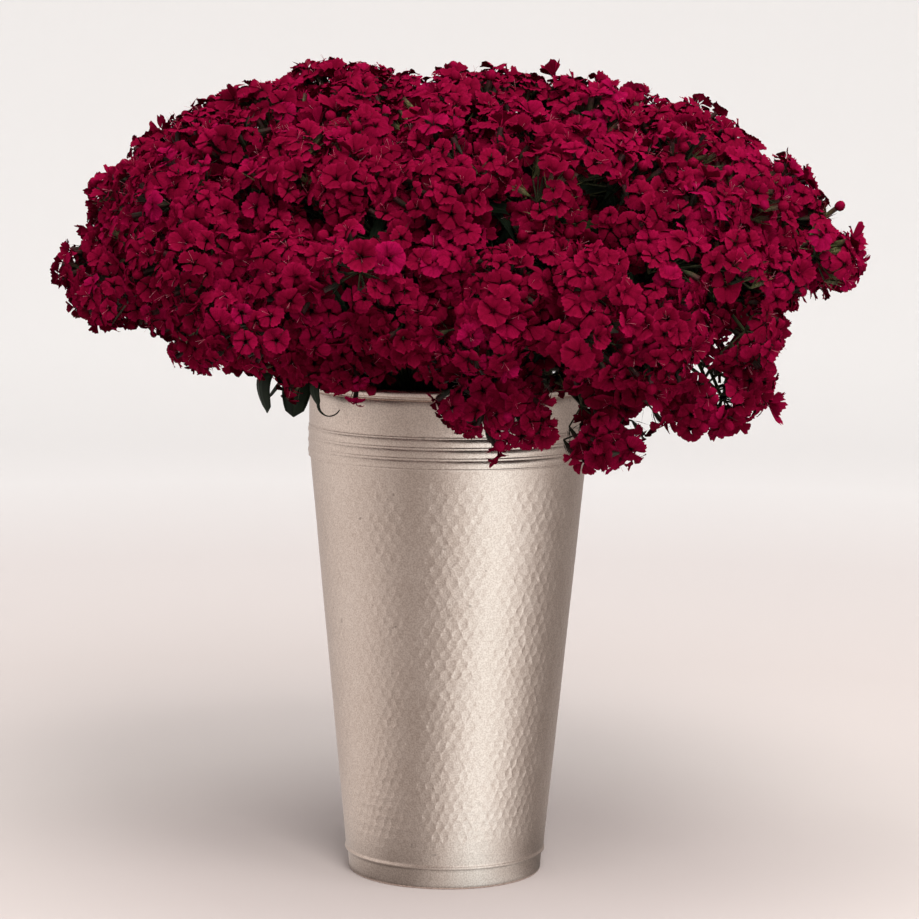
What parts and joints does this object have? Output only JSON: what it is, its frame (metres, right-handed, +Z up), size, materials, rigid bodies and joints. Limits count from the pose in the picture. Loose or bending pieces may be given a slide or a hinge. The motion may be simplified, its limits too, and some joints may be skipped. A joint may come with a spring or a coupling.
{
  "type": "potted dianthus",
  "caption": "Wide mound of crimson five-petalled flowers on forked stems with narrow leaves, rooted in soil in a tall tapered hammered metal bucket with a ribbed collar.",
  "frame": {"origin": "centre of the bucket's flat base, on the surface that it stands on", "axes": "+Z up along the bucket's axis, -Y towards the viewer of the picture, +X to the viewer's right"},
  "size_m": [0.6389, 0.573, 0.6256],
  "materials": {
    "bucket_metal": "hand-hammered satin metal, warm grey",
    "soil": "moist peat and bark crumbs, matte",
    "petals": "velvety crimson petals, matte",
    "stems": "olive green, smooth",
    "leaves": "dark green, slightly waxy"
  },
  "bodies": {
    "root": {"bucket": "bucket_metal", "potting_soil": "soil", "flower_cluster_01": "petals", "flower_cluster_02": "petals", "flower_cluster_03": "petals", "flower_cluster_04": "petals", "flower_cluster_05": "petals", "flower_cluster_06": "petals", "flower_cluster_07": "petals", "flower_cluster_08": "petals", "flower_cluster_09": "petals", "flower_cluster_10": "petals", "flower_cluster_11": "petals", "flower_cluster_12": "petals", "flower_cluster_13": "petals", "flower_cluster_14": "petals", "flower_cluster_15": "petals", "flower_cluster_16": "petals", "flower_cluster_17": "petals", "flower_cluster_18": "petals", "flower_cluster_19": "petals", "flower_cluster_20": "petals", "flower_cluster_21": "petals", "flower_cluster_22": "petals", "flower_cluster_23": "petals", "flower_cluster_24": "petals", "flower_cluster_25": "petals", "flower_cluster_26": "petals", "flower_cluster_27": "petals", "flower_cluster_28": "petals", "flower_cluster_29": "petals", "flower_cluster_30": "petals", "flower_cluster_31": "petals", "flower_cluster_32": "petals", "stem_01": "stems", "stem_02": "stems", "stem_03": "stems", "stem_04": "stems", "stem_05": "stems", "stem_06": "stems", "stem_07": "stems", "stem_08": "stems", "stem_09": "stems", "stem_10": "stems", "stem_11": "stems", "stem_12": "stems", "stem_13": "stems", "stem_14": "stems", "stem_15": "stems", "stem_16": "stems", "stem_17": "stems", "leaf_01": "leaves", "leaf_02": "leaves", "leaf_03": "leaves", "leaf_04": "leaves", "leaf_05": "leaves", "leaf_06": "leaves", "leaf_07": "leaves", "leaf_08": "leaves", "leaf_09": "leaves"}
  },
  "joints": []
}
